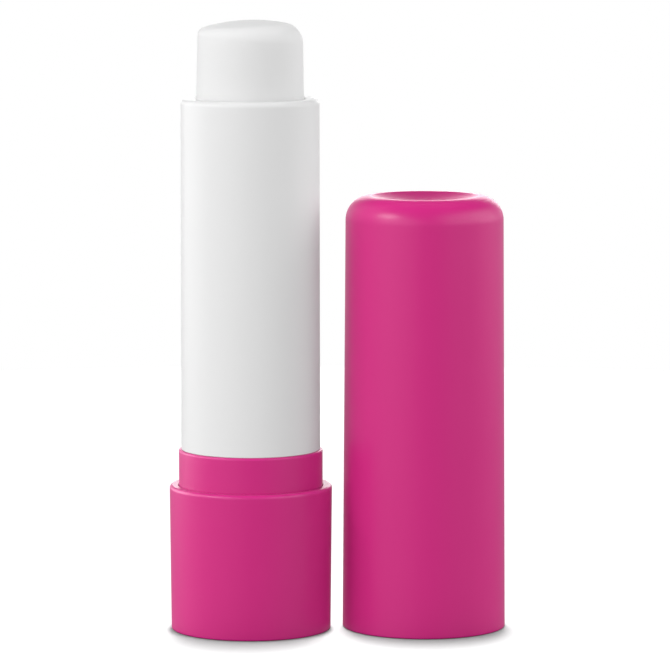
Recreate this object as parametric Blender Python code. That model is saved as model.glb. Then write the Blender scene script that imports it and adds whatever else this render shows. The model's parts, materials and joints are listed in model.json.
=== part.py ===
"""A twist-up lip balm stick with its cap taken off and stood beside it.

Units are metres and +Z is up. The stick turns about the Z axis and stands on z = 0.
Seven pieces: grip_shell, collar_insert and screw_spindle make the base, balm_tube turns on
it, lift_cup and balm climb inside the tube, and cap goes over the tube onto the base.
The balm is shown wound up by RAISED above its lowest place.
"""

import math

import bmesh
import bpy
from mathutils import Matrix

# Clearances between pieces
WAX_GAP = 0.00010
RUN_GAP = 0.00020
SEAT_GAP = 0.00030
PRESS_GAP = 0.00010
FACE_GAP = 0.00010
GRIP_GAP = 0.00005
THREAD_GAP = 0.00020

# Balm and the tube around it
BALM_RADIUS = 0.00630
BALM_TAPER = 0.00015
BALM_TAPER_LENGTH = 0.0085
BALM_SHOULDER = 0.0015
BALM_DOME_RADIUS = 0.0210
BALM_RECESS = 0.00155
RAISED = 0.0107
TUBE_WALL = 0.00175
TUBE_TAPER = 0.00005
TUBE_REACH = 0.0412
TUBE_RIM_ROUND = 0.00060
TUBE_BORE_ROUND = 0.00030

# Neck of the tube, which turns in the base
NECK_WALL = 0.00115
NECK_LIFT = 0.0008
BEAD_REACH = 0.00020
BEAD_WIDTH = 0.0010
BEAD_SLOPE = 0.00030
BEAD_LIFT = 0.0031

# Base
BASE_HEIGHT = 0.0171
SHELL_WALL = 0.0010
SHELL_FLOOR = 0.0012
FOOT_TAPER = 0.00017
FOOT_ROUND = 0.00035
RIM_ROUND = 0.00040
RIB_WIDTH = 0.0012
RIB_DEPTH = 0.00060
RIB_COUNT = 4
COLLAR_STEP = 0.00030
COLLAR_HEIGHT = 0.0042
COLLAR_ROUND = 0.00020
COLLAR_SKIRT_WALL = 0.00095
WEB_THICKNESS = 0.0012

# Screw spindle
FLANGE_RADIUS = 0.0045
FLANGE_THICKNESS = 0.0014
SHANK_SIDE = 0.0044
SHANK_LENGTH = 0.0021
THREAD_CORE = 0.00175
THREAD_DEPTH = 0.00075
THREAD_LEAD = 0.0040
THREAD_START = 0.0010
THREAD_FADE_TURNS = 0.5
ROOT_WIDTH_SHARE = 0.475
CREST_WIDTH_SHARE = 0.225

# Lift cup
CUP_WALL = 0.00060
CUP_FLOOR = 0.0012
CUP_DEPTH = 0.0050
CUP_SKIRT = 0.0042
CUP_RIM_DROP = 0.0005
HUB_WALL = 0.0012
HUB_LENGTH = 0.0057
HUB_LIFT = 0.0013
LUG_WIDTH = 0.0016
LUG_REACH = 0.00060
LUG_HEIGHT = 0.0025
FIN_COUNT = 4
FIN_WIDTH = 0.00060
FIN_DEPTH = 0.0012
FIN_HEIGHT = 0.0035

# Cap
CAP_FIT = 0.00020
CAP_WALL = 0.00095
CAP_TAPER = 0.00035
CAP_HEADROOM = 0.0032
CAP_CEILING = 0.0024
CAP_BORE_GAP = 0.00015
CAP_BORE_STEP = 0.00005
CAP_BORE_ROUND = 0.0008
CAP_SHOULDER = 0.00285
CAP_MOUTH_ROUND = 0.00020
CREST_ROUND = 0.00060
DISH_ANGLE = math.radians(17)
GRIP_RIB_COUNT = 8
GRIP_RIB_WIDTH = 0.0008
CAP_APART = 0.00125
CAP_SETBACK = 0.0015

# Roundness of the meshes
SIDES = 48
THREAD_SIDES = 16
ARC_STEPS = 4
FULL_TURN = 2 * math.pi
MERGE_DISTANCE = 1e-7
SHARP_ANGLE = math.radians(35)
OVERRUN = 0.0006

# Radii, each from the piece inside it
bore_radius = BALM_RADIUS + WAX_GAP
tube_radius = bore_radius + TUBE_WALL
neck_radius = bore_radius + NECK_WALL
socket_radius = neck_radius + RUN_GAP
bead_radius = socket_radius + BEAD_REACH
groove_radius = bead_radius + RUN_GAP
collar_radius = tube_radius + COLLAR_STEP
shell_bore = collar_radius + PRESS_GAP
rim_radius = shell_bore + SHELL_WALL
cup_radius = bore_radius - RUN_GAP
cup_inner = cup_radius - CUP_WALL
lug_radius = cup_radius + LUG_REACH
key_radius = lug_radius + RUN_GAP
thread_crest = THREAD_CORE + THREAD_DEPTH
hub_radius = thread_crest + THREAD_GAP + HUB_WALL
cap_mouth_bore = collar_radius + CAP_FIT
cap_radius = cap_mouth_bore + CAP_WALL
cap_top_radius = cap_radius - CAP_TAPER

# Heights, each from the piece below it
collar_bottom = SHELL_FLOOR + SEAT_GAP
flange_top = collar_bottom + FLANGE_THICKNESS
web_bottom = flange_top + SEAT_GAP
web_top = web_bottom + WEB_THICKNESS
neck_bottom = web_top + NECK_LIFT
bead_bottom = neck_bottom + BEAD_LIFT
bead_top = bead_bottom + BEAD_WIDTH
collar_top = BASE_HEIGHT + COLLAR_HEIGHT
tube_shoulder = collar_top + FACE_GAP
tube_top = collar_top + TUBE_REACH
shank_top = flange_top + SHANK_LENGTH
thread_bottom = shank_top + THREAD_START
floor_lowest = shank_top + HUB_LIFT + HUB_LENGTH + CUP_FLOOR
floor_highest = tube_top - CUP_RIM_DROP - CUP_DEPTH
cup_floor_top = floor_lowest + RAISED
cup_floor_bottom = cup_floor_top - CUP_FLOOR
skirt_bottom = cup_floor_bottom - CUP_SKIRT
hub_bottom = cup_floor_bottom - HUB_LENGTH
cup_top = cup_floor_top + CUP_DEPTH
spindle_tip = floor_highest
balm_top = tube_top - BALM_RECESS + RAISED
cap_ceiling = COLLAR_HEIGHT + TUBE_REACH + CAP_HEADROOM
cap_height = cap_ceiling + CAP_CEILING


def clear_scene():
    """Takes every object out of the scene."""
    for leftover in list(bpy.data.objects):
        bpy.data.objects.remove(leftover)


def plastic(name, colour, roughness, subsurface=0.0):
    """A moulded finish with the given colour and roughness."""
    material = bpy.data.materials.new(name)
    material.use_nodes = True
    shader = material.node_tree.nodes["Principled BSDF"]
    shader.inputs["Base Color"].default_value = (*colour, 1)
    shader.inputs["Roughness"].default_value = roughness
    shader.inputs["Metallic"].default_value = 0
    shader.inputs["Subsurface Weight"].default_value = subsurface
    return material


def arc(radius_at, height_at, size, start, end, steps=ARC_STEPS):
    """Points (radius, height) on a circle of the given size, from one angle in degrees to another."""
    angles = [math.radians(start + (end - start) * step / steps) for step in range(steps + 1)]
    return [(radius_at + size * math.cos(a), height_at + size * math.sin(a)) for a in angles]


def new_object(name, shape):
    """An object whose mesh is the finished bmesh."""
    bmesh.ops.remove_doubles(shape, verts=shape.verts, dist=MERGE_DISTANCE)
    bmesh.ops.recalc_face_normals(shape, faces=shape.faces)
    mesh = bpy.data.meshes.new(name)
    shape.to_mesh(mesh)
    shape.free()
    piece = bpy.data.objects.new(name, mesh)
    bpy.context.scene.collection.objects.link(piece)
    return piece


def turned(name, outline, sides=SIDES):
    """Spins an outline of (radius, height) points about +Z. Its two ends meet, or lie on the axis."""
    shape = bmesh.new()
    corners = [shape.verts.new((radius, 0, height)) for radius, height in outline]
    edges = [shape.edges.new(pair) for pair in zip(corners, corners[1:])]
    if outline[0][0] > 0:
        edges.append(shape.edges.new((corners[-1], corners[0])))
    bmesh.ops.spin(
        shape, geom=corners + edges, axis=(0, 0, 1), angle=FULL_TURN, steps=sides, use_merge=True
    )
    return new_object(name, shape)


def block(name, inner, outer, width, bottom, top, angle):
    """A box between two distances from the axis, turned about the axis to face the angle."""
    shape = bmesh.new()
    bmesh.ops.create_cube(shape, size=1)
    bmesh.ops.scale(shape, verts=shape.verts, vec=(outer - inner, width, top - bottom))
    middle = ((outer + inner) / 2, 0, (top + bottom) / 2)
    bmesh.ops.translate(shape, verts=shape.verts, vec=middle)
    bmesh.ops.rotate(shape, verts=shape.verts, matrix=Matrix.Rotation(angle, 3, "Z"))
    return new_object(name, shape)


def combine(piece, tool, operation):
    """Unites the tool with the piece, or cuts it from the piece, and removes the tool."""
    modifier = piece.modifiers.new(tool.name, "BOOLEAN")
    modifier.operation = operation
    modifier.solver = "EXACT"
    modifier.object = tool
    graph = bpy.context.evaluated_depsgraph_get()
    result = bpy.data.meshes.new_from_object(piece.evaluated_get(graph))
    piece.modifiers.remove(modifier)
    piece.data = result
    bpy.data.objects.remove(tool)


def around(count, start=0.0):
    """Equal steps of angle round the axis."""
    return [start + FULL_TURN * number / count for number in range(count)]


def thread_ridge(name, core, growth, bottom, top, fade_turns):
    """The helical ridge of the screw, wider by growth each side. Its ends fade into the core."""
    first = math.ceil((bottom - thread_bottom) / THREAD_LEAD * THREAD_SIDES)
    last = math.floor((top - thread_bottom) / THREAD_LEAD * THREAD_SIDES)
    root_half = THREAD_LEAD * ROOT_WIDTH_SHARE / 2 + growth
    crest_half = THREAD_LEAD * CREST_WIDTH_SHARE / 2 + growth
    foot = core - THREAD_DEPTH / 2
    fade_steps = fade_turns * THREAD_SIDES + 1
    shape = bmesh.new()
    rings = []
    for step in range(first, last + 1):
        rise = min(1, (min(step - first, last - step) + 1) / fade_steps)
        crest = foot + (core + THREAD_DEPTH - foot) * rise
        angle = FULL_TURN * step / THREAD_SIDES
        height = thread_bottom + THREAD_LEAD * step / THREAD_SIDES
        section = [(foot, -root_half), (crest, -crest_half), (crest, crest_half), (foot, root_half)]
        points = [(r * math.cos(angle), r * math.sin(angle), height + z) for r, z in section]
        rings.append([shape.verts.new(point) for point in points])
    for low, high in zip(rings, rings[1:]):
        for corner in range(len(low)):
            shape.faces.new((low[corner - 1], low[corner], high[corner], high[corner - 1]))
    shape.faces.new(rings[0])
    shape.faces.new(rings[-1])
    return new_object(name, shape)


def finish(piece, material):
    """Gives the piece its material and smooth shading with crisp edges."""
    piece.data.materials.clear()
    piece.data.materials.append(material)
    piece.data.shade_smooth()
    piece.data.set_sharp_from_angle(angle=SHARP_ANGLE)


def make_grip_shell(material):
    """The outer base cup that the fingers turn, with ribs inside that lock the collar insert."""
    foot = rim_radius - FOOT_TAPER
    outline = [(0, 0)]
    outline += arc(foot - FOOT_ROUND, FOOT_ROUND, FOOT_ROUND, -90, 0)
    outline += arc(rim_radius - RIM_ROUND, BASE_HEIGHT - RIM_ROUND, RIM_ROUND, 0, 90)
    outline += [(shell_bore, BASE_HEIGHT), (shell_bore, SHELL_FLOOR), (0, SHELL_FLOOR)]
    shell = turned("grip_shell", outline)
    for angle in around(RIB_COUNT, FULL_TURN / RIB_COUNT / 2):
        inner = shell_bore - RIB_DEPTH
        outer = shell_bore + SHELL_WALL / 2
        low = SHELL_FLOOR / 2
        rib = block("rib", inner, outer, RIB_WIDTH, low, web_bottom, angle)
        combine(shell, rib, "UNION")
    finish(shell, material)


def make_collar_insert(material):
    """The sleeve pressed into the shell. Its top shows as the collar and its bore carries the tube."""
    skirt_inner = collar_radius - COLLAR_SKIRT_WALL
    outline = [(0, web_bottom), (skirt_inner, web_bottom), (skirt_inner, collar_bottom)]
    outline += [(collar_radius, collar_bottom)]
    outline += arc(collar_radius - COLLAR_ROUND, collar_top - COLLAR_ROUND, COLLAR_ROUND, 0, 90)
    outline += [(socket_radius, collar_top)]
    groove_top = bead_top + SEAT_GAP
    groove_bottom = bead_bottom - SEAT_GAP
    outline += [(socket_radius, groove_top), (groove_radius, groove_top - BEAD_SLOPE)]
    outline += [(groove_radius, groove_bottom + BEAD_SLOPE), (socket_radius, groove_bottom)]
    outline += [(socket_radius, web_top), (0, web_top)]
    insert = turned("collar_insert", outline)
    half_hole = SHANK_SIDE / 2 + RUN_GAP
    hole = block(
        "hole", -half_hole, half_hole, 2 * half_hole, web_bottom - OVERRUN, web_top + OVERRUN, 0
    )
    combine(insert, hole, "DIFFERENCE")
    for angle in around(RIB_COUNT, FULL_TURN / RIB_COUNT / 2):
        inner = skirt_inner - OVERRUN
        outer = collar_radius + OVERRUN
        width = RIB_WIDTH + 2 * RUN_GAP
        top = web_bottom + SEAT_GAP
        slot = block("slot", inner, outer, width, collar_bottom - OVERRUN, top, angle)
        combine(insert, slot, "DIFFERENCE")
    finish(insert, material)


def make_screw_spindle(material):
    """The fixed screw: a flange trapped under the web, a square shank in it, and a long thread."""
    tip = THREAD_CORE / 2
    outline = [(0, collar_bottom), (FLANGE_RADIUS, collar_bottom), (FLANGE_RADIUS, flange_top)]
    outline += [(THREAD_CORE, flange_top), (THREAD_CORE, spindle_tip - tip), (tip, spindle_tip)]
    outline += [(0, spindle_tip)]
    spindle = turned("screw_spindle", outline, THREAD_SIDES)
    half = SHANK_SIDE / 2
    shank = block("shank", -half, half, SHANK_SIDE, flange_top - FLANGE_THICKNESS / 2, shank_top, 0)
    combine(spindle, shank, "UNION")
    ridge_top = spindle_tip - THREAD_LEAD / 2
    ridge = thread_ridge("ridge", THREAD_CORE, 0, thread_bottom, ridge_top, THREAD_FADE_TURNS)
    combine(spindle, ridge, "UNION")
    finish(spindle, material)


def make_balm_tube(material):
    """The white tube: a smooth outside, a snap neck below, and two key grooves in the bore."""
    top_radius = tube_radius - TUBE_TAPER
    outline = [(tube_radius, tube_shoulder)]
    outline += arc(top_radius - TUBE_RIM_ROUND, tube_top - TUBE_RIM_ROUND, TUBE_RIM_ROUND, 0, 90)
    outline += arc(bore_radius + TUBE_BORE_ROUND, tube_top - TUBE_BORE_ROUND, TUBE_BORE_ROUND, 90, 180)
    outline += [(bore_radius, neck_bottom), (neck_radius, neck_bottom), (neck_radius, bead_bottom)]
    outline += [(bead_radius, bead_bottom + BEAD_SLOPE), (bead_radius, bead_top - BEAD_SLOPE)]
    outline += [(neck_radius, bead_top), (neck_radius, tube_shoulder)]
    tube = turned("balm_tube", outline)
    lug_top = skirt_bottom + LUG_HEIGHT + floor_highest - cup_floor_top
    for angle in around(2):
        inner = bore_radius - OVERRUN
        width = LUG_WIDTH + 2 * RUN_GAP
        low = neck_bottom - OVERRUN
        groove = block("groove", inner, key_radius, width, low, lug_top + SEAT_GAP, angle)
        combine(tube, groove, "DIFFERENCE")
    finish(tube, material)


def make_lift_cup(material):
    """The cup that carries the balm: a nut on the screw, with lugs that ride in the tube's grooves."""
    outline = [(0, cup_floor_top), (cup_inner, cup_floor_top), (cup_inner, cup_top)]
    outline += [(cup_radius, cup_top), (cup_radius, skirt_bottom), (cup_inner, skirt_bottom)]
    outline += [(cup_inner, cup_floor_bottom), (hub_radius, cup_floor_bottom)]
    outline += [(hub_radius, hub_bottom), (0, hub_bottom)]
    cup = turned("lift_cup", outline)
    for angle in around(2):
        inner = cup_radius - CUP_WALL / 2
        lug = block("lug", inner, lug_radius, LUG_WIDTH, skirt_bottom, skirt_bottom + LUG_HEIGHT, angle)
        combine(cup, lug, "UNION")
    for angle in around(FIN_COUNT, FULL_TURN / FIN_COUNT / 2):
        inner = cup_inner - FIN_DEPTH
        low = cup_floor_top - CUP_FLOOR / 2
        outer = cup_inner + CUP_WALL / 2
        fin = block("fin", inner, outer, FIN_WIDTH, low, cup_floor_top + FIN_HEIGHT, angle)
        combine(cup, fin, "UNION")
    bore = THREAD_CORE + THREAD_GAP
    low = hub_bottom - OVERRUN
    high = cup_floor_top + OVERRUN
    core = turned("core", [(0, low), (bore, low), (bore, high), (0, high)], THREAD_SIDES)
    combine(cup, core, "DIFFERENCE")
    ridge = thread_ridge("nut", bore, THREAD_GAP, low - THREAD_LEAD / 2, high + THREAD_LEAD / 2, 0)
    combine(cup, ridge, "DIFFERENCE")
    finish(cup, material)


def make_balm(material):
    """The balm bullet, cast round the screw, keyed into the cup and domed on top."""
    side = BALM_RADIUS - BALM_TAPER
    dome = BALM_DOME_RADIUS - BALM_SHOULDER
    reach = side - BALM_SHOULDER
    lean = math.degrees(math.asin(reach / dome))
    dome_centre = balm_top - BALM_DOME_RADIUS
    shoulder_height = dome_centre + math.sqrt(dome**2 - reach**2)
    low = cup_floor_top + WAX_GAP
    root = cup_inner - WAX_GAP
    step = cup_top + WAX_GAP
    bore = thread_crest + SEAT_GAP
    bore_top = spindle_tip + RAISED + SEAT_GAP
    outline = [(0, bore_top), (bore, bore_top), (bore, low), (root, low), (root, step)]
    outline += [(BALM_RADIUS, step), (BALM_RADIUS, shoulder_height - BALM_TAPER_LENGTH)]
    outline += arc(reach, shoulder_height, BALM_SHOULDER, 0, 90 - lean)
    outline += arc(0, dome_centre, BALM_DOME_RADIUS, 90 - lean, 90)[1:-1]
    outline += [(0, balm_top)]
    balm = turned("balm", outline)
    for angle in around(FIN_COUNT, FULL_TURN / FIN_COUNT / 2):
        inner = cup_inner - FIN_DEPTH - WAX_GAP
        outer = root + OVERRUN
        width = FIN_WIDTH + 2 * WAX_GAP
        top = cup_floor_top + FIN_HEIGHT + WAX_GAP
        slot = block("slot", inner, outer, width, low - OVERRUN, top, angle)
        combine(balm, slot, "DIFFERENCE")
    finish(balm, material)


def make_cap(material):
    """The cap: a tapered cup with a round shoulder, a dished top, and grip ribs in its mouth."""
    crest = cap_top_radius - CAP_SHOULDER
    bore_top = tube_radius + CAP_BORE_GAP
    mouth_top = COLLAR_HEIGHT + SEAT_GAP
    slope = math.degrees(DISH_ANGLE)
    dish_edge = crest - CREST_ROUND * math.sin(DISH_ANGLE)
    dish = dish_edge / math.sin(DISH_ANGLE)
    dish_centre = cap_height - CREST_ROUND + (CREST_ROUND + dish) * math.cos(DISH_ANGLE)
    outline = [(0, dish_centre - dish)]
    outline += arc(0, dish_centre, dish, -90, -90 + slope)[1:-1]
    outline += arc(crest, cap_height - CREST_ROUND, CREST_ROUND, 90 + slope, 90, 2)
    outline += arc(crest, cap_height - CAP_SHOULDER, CAP_SHOULDER, 90, 0, 6)[1:]
    outline += arc(cap_radius - CAP_MOUTH_ROUND, CAP_MOUTH_ROUND, CAP_MOUTH_ROUND, 0, -90, 2)
    outline += [(cap_mouth_bore, 0), (cap_mouth_bore, mouth_top)]
    outline += [(cap_mouth_bore - CAP_BORE_STEP, mouth_top)]
    outline += arc(bore_top - CAP_BORE_ROUND, cap_ceiling - CAP_BORE_ROUND, CAP_BORE_ROUND, 0, 90, 2)
    outline += [(0, cap_ceiling)]
    cap = turned("cap", outline)
    for angle in around(GRIP_RIB_COUNT):
        inner = collar_radius + GRIP_GAP
        outer = cap_mouth_bore + CAP_WALL / 2
        rib = block("rib", inner, outer, GRIP_RIB_WIDTH, CAP_MOUTH_ROUND, mouth_top - SEAT_GAP, angle)
        combine(cap, rib, "UNION")
    finish(cap, material)
    cap.location = (rim_radius + CAP_APART + cap_radius, CAP_SETBACK, 0)


def main():
    clear_scene()
    pink = plastic("pink_plastic", (0.58, 0.035, 0.20), 0.42)
    white = plastic("white_plastic", (0.80, 0.80, 0.80), 0.38)
    acetal = plastic("natural_acetal", (0.78, 0.77, 0.74), 0.50)
    wax = plastic("balm_wax", (0.82, 0.81, 0.80), 0.55, 0.10)
    make_grip_shell(pink)
    make_collar_insert(pink)
    make_screw_spindle(acetal)
    make_balm_tube(white)
    make_lift_cup(acetal)
    make_balm(wax)
    make_cap(pink)


main()
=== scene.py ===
# %% [markdown]
# A lip balm stick, from frame to finish
#
# The stick is a white tube that turns in a pink base. A screw inside lifts the balm, and the pink
# cap stands beside it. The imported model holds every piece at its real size, as plain facets.
# This lesson reads that model as a fixed frame and works out a fine skin for each piece, so that
# edges are round, walls are true circles and each finish has its own grain.

# %% Load the frame
import json
import math

import bmesh
import bpy
import numpy as np
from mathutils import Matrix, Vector


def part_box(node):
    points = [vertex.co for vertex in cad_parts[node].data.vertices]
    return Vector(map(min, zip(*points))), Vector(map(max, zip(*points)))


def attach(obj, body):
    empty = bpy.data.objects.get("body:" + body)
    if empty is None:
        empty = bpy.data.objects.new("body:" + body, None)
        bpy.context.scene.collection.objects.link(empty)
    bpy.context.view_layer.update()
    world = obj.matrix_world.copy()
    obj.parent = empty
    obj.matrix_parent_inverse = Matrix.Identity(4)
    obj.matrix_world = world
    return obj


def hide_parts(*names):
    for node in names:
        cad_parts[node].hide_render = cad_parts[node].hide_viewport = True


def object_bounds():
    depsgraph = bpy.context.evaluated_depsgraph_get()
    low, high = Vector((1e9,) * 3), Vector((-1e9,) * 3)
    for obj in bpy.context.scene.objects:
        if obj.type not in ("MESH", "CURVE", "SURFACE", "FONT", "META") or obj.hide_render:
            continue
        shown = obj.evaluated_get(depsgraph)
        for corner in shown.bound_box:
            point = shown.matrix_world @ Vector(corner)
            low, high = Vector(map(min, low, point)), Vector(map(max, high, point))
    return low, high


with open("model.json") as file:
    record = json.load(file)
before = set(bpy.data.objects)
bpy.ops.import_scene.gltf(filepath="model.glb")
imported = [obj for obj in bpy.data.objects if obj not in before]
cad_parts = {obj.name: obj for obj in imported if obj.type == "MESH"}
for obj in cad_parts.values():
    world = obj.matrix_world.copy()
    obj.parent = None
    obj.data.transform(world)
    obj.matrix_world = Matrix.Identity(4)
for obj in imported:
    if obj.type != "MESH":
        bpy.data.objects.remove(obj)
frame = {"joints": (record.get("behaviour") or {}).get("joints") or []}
cad_low, cad_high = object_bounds()
MM_IN_METRE = 1000


def in_mm(*lengths):
    """Lengths in metres as rounded millimetres, for what a cell prints."""
    return [round(MM_IN_METRE * length, 2) for length in lengths]


print("frame size in mm:", in_mm(*(cad_high - cad_low)))

# %% [markdown]
# The camera
#
# A product shot is taken from far away through a long lens, which keeps the walls of a tube almost
# parallel. The ovals of the rims tell how far the camera looks down, and their widths tell how far
# away it stands. It could be placed by eye, but a height, a distance and a tilt say it exactly.

# %% Camera
CAMERA_SIDE = 0.00990
CAMERA_AWAY = 0.5372
CAMERA_HEIGHT = 0.0977
CAMERA_TILT = math.radians(6.685)
LENS_MM = 247.9


def make_camera():
    """Stands in front of the stick, looks along +Y and is tilted down a little."""
    lens = bpy.data.cameras.new("portrait_lens")
    lens.lens = LENS_MM
    camera = bpy.data.objects.new("portrait_camera", lens)
    camera.location = (CAMERA_SIDE, -CAMERA_AWAY, CAMERA_HEIGHT)
    camera.rotation_euler = (math.pi / 2 - CAMERA_TILT, 0, 0)
    bpy.context.scene.collection.objects.link(camera)
    bpy.context.scene.camera = camera
    return camera


camera = make_camera()
print("camera stands at, in mm:", in_mm(*camera.location))

# %% [markdown]
# Sizes read from the frame
#
# Each piece's box gives its outer radius and its two ends, so these come from the frame and not
# from memory. Walls, gaps and roundings lie inside a box, so they are named here, as on a drawing.

# %% Sizes
shell_low, shell_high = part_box("grip_shell")
insert_low, insert_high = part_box("collar_insert")
spindle_low, spindle_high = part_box("screw_spindle")
tube_low, tube_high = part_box("balm_tube")
cup_low, cup_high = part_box("lift_cup")
balm_low, balm_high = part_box("balm")
cap_low, cap_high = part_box("cap")

WAX_GAP = 0.00010
RUN_GAP = 0.00020
SEAT_GAP = 0.00030
PRESS_GAP = 0.00003
FACE_GAP = 0.00003
TINY_EDGE = 0.00005
SMALL_EDGE = 0.00012

bore_radius = balm_high.x + WAX_GAP
cup_radius = bore_radius - RUN_GAP
print("radius of the stick and of its bore in mm:", in_mm(shell_high.x, bore_radius))

# %% [markdown]
# Rounded outlines
#
# Every piece here is turned, so it starts as half of its cross-section: corners joined by straight
# lines, each corner with its own rounding. A bevel modifier could round the corners afterwards,
# but it knows nothing of one corner being softer than the next. A rational curve with three
# weights gives a true circle and needs no angles. A row just beside each arc holds the flat
# next to it flat, so that the shading bends only where the plastic does.

# %% Outlines
ARC_STEPS = 6
LARGE_ARC_STEPS = 20
HOLD_REACH = 0.00012
HOLD_SHARE = 1 / 3


def arc_rows(start, corner, end, weight, steps):
    """Rows along the arc from start to end that both sides of the corner touch.

    With t from 0 to 1 the three points have the weights (1-t) squared, 2t(1-t)w and t squared,
    and the sum is divided by the sum of the weights. It is a circle when w is the cosine of
    half the turn.
    """
    t = np.linspace(0, 1, steps + 1)[:, None]
    first, middle, last = (1 - t) ** 2, 2 * t * (1 - t) * weight, t**2
    return (first * start + middle * corner + last * end) / (first + middle + last)


def outline(corners):
    """Rows of (radius, height) along an outline whose corners are (radius, height, rounding).

    A fourth value gives a corner more steps. A rounding of 0 is for the two ends of an outline.
    An arc's ends lie the rounding times the tangent of half the turn away from the corner.
    """
    places = np.array([(radius, height) for radius, height, *_ in corners], float)
    roundings = np.array([rounding for _, _, rounding, *_ in corners], float)
    along = np.roll(places, -1, axis=0) - places
    reach = np.linalg.norm(along, axis=1, keepdims=True)
    ahead = along / reach
    behind = -np.roll(ahead, 1, axis=0)
    half_turn = np.arccos(np.clip((ahead * -behind).sum(axis=1), -1, 1)) / 2
    tangent = (roundings * np.tan(half_turn))[:, None]
    free = np.maximum(reach - tangent - np.roll(tangent, -1, axis=0), 0)
    hold_ahead = np.minimum(HOLD_REACH, free * HOLD_SHARE)
    hold_behind = np.roll(hold_ahead, 1, axis=0)
    rows = []
    for number, (_, _, rounding, *steps) in enumerate(corners):
        place = places[number]
        if not rounding:
            rows.append(place[None])
            continue
        start = place + behind[number] * tangent[number]
        end = place + ahead[number] * tangent[number]
        count = steps[0] if steps else ARC_STEPS
        rows.append((start + behind[number] * hold_behind[number])[None])
        rows.append(arc_rows(start, place, end, math.cos(half_turn[number]), count))
        rows.append((end + ahead[number] * hold_ahead[number])[None])
    return np.concatenate(rows)


right, corner, above = np.array([(1, 0), (1, 1), (0, 1)], float)
quarter_arc = arc_rows(right, corner, above, math.cos(math.pi / 4), ARC_STEPS)
print("radius along a quarter arc:", np.linalg.norm(quarter_arc, axis=1).round(6))

# %% [markdown]
# Ribs, slots and lugs
#
# A turned piece isn't round all the way: ribs lock the collar, lugs slide in grooves. They could
# be cut with Booleans, which leave torn shading around each cut. Here a rib is a second outline
# with the same rows. Each column of the grid uses the plain outline, the rib's, or a mix of the
# two across the narrow flank between them, so the skin stays one clean grid.

# %% Columns
FULL_TURN = 2 * math.pi
SIDES = 240
COLUMN_ROOM = math.radians(0.35)


def around(count, start=0.0):
    """Equal steps of angle round the axis."""
    return start + FULL_TURN * np.arange(count) / count


def apart(angles, others):
    """The smallest turn between each angle and any of the others."""
    turn = (angles[:, None] - others[None, :] + math.pi) % FULL_TURN - math.pi
    return np.abs(turn).min(axis=1)


def column_angles(*features, sides=SIDES):
    """Even columns, and two more on each flank of each (centres, half angle, flank angle)."""
    even = around(sides)
    flanks = []
    for centres, half_angle, flank in features:
        for edge in (half_angle - flank / 2, half_angle + flank / 2):
            flanks += [centres - edge, centres + edge]
    if not flanks:
        return even
    flanks = np.concatenate(flanks) % FULL_TURN
    return np.sort(np.concatenate((even[apart(even, flanks) > COLUMN_ROOM], flanks)))


def share_inside(angles, feature):
    """1 inside a feature, 0 outside it, and a straight slope across its flank."""
    centres, half_angle, flank = feature
    return np.clip((half_angle + flank / 2 - apart(angles, centres)) / flank, 0, 1)


def mixed_grid(angles, plain, *shaped):
    """A grid of (radius, height): the plain outline, moved to each shaped outline by its share."""
    grid = np.repeat(plain[:, None, :], len(angles), axis=1)
    for shape, share in shaped:
        grid += share[None, :, None] * (shape - plain)[:, None, :]
    return grid


print("columns round a plain piece:", len(column_angles()))

# %% [markdown]
# From a grid to a skin
#
# A grid of rows and columns becomes a mesh by joining each point to the next row and the next
# column. Rows that close on the axis, and corners that a plain outline doesn't use, lie on top
# of each other, so doubles are merged first and the faces are turned outwards after that. An
# attribute marks the round convex edges, where fingers polish a moulded piece first.

# %% Skins
MERGE_REACH = 2e-7
SHARP_TURN = math.radians(32)
EDGE_SIZE = 0.0006


def edge_share(grid):
    """How sharply each row bends outwards: the turn over the length, times the edge size.

    The sign of the area inside the first column's outline tells which way is outwards.
    """
    ahead = np.roll(grid, -1, axis=0) - grid
    behind = grid - np.roll(grid, 1, axis=0)
    cross = behind[..., 0] * ahead[..., 1] - behind[..., 1] * ahead[..., 0]
    along = (behind * ahead).sum(axis=-1)
    length = (np.linalg.norm(ahead, axis=-1) + np.linalg.norm(behind, axis=-1)) / 2
    bend = np.arctan2(cross, along) / np.maximum(length, HOLD_REACH / ARC_STEPS)
    first = grid[:, 0]
    following = np.roll(first, -1, axis=0)
    side = np.sign((first[:, 0] * following[:, 1] - first[:, 1] * following[:, 0]).sum())
    return np.clip(side * bend * EDGE_SIZE, 0, 1)


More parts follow.
